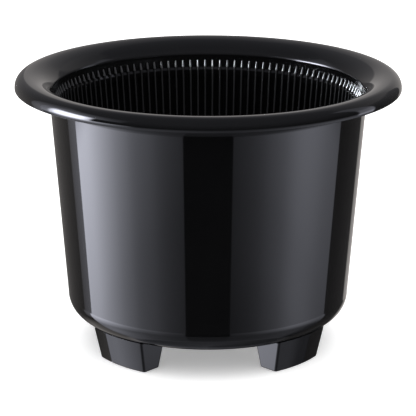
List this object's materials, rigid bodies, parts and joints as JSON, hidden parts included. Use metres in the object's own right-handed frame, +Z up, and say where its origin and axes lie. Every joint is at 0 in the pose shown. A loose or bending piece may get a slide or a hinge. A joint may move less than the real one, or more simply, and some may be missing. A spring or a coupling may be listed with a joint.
{
  "type": "orchid pot",
  "caption": "Round glossy plastic orchid pot with a wide rolled rim, a lift-out liner of upright ribs, a lift-out slotted drain grate and snap-in feet.",
  "frame": {"origin": "on the ground, on the pot's upright axis, midway between the feet", "axes": "+Z up along the pot's axis; -Y is the front, seen in the picture, and the feet stand on the diagonals between +X and +Y"},
  "size_m": [0.18, 0.18, 0.1297],
  "materials": {
    "pot_gloss": "near-black moulded plastic with a high gloss",
    "liner_satin": "near-black moulded plastic, a little less glossy than the pot",
    "grate_satin": "near-black moulded plastic with a soft sheen"
  },
  "bodies": {
    "pot": {"pot_shell": "pot_gloss", "foot_front_right": "pot_gloss", "foot_rear_right": "pot_gloss", "foot_rear_left": "pot_gloss", "foot_front_left": "pot_gloss"},
    "liner": {"rib_liner": "liner_satin"},
    "grate": {"drain_grate": "grate_satin"}
  },
  "joints": [
    {"name": "liner_lift", "type": "slide", "parent": "pot", "child": "liner", "axis": [0, 0, 1], "range_m": [0, 0.115]},
    {"name": "grate_lift", "type": "slide", "parent": "liner", "child": "grate", "axis": [0, 0, 1], "range_m": [0, 0.11]}
  ]
}
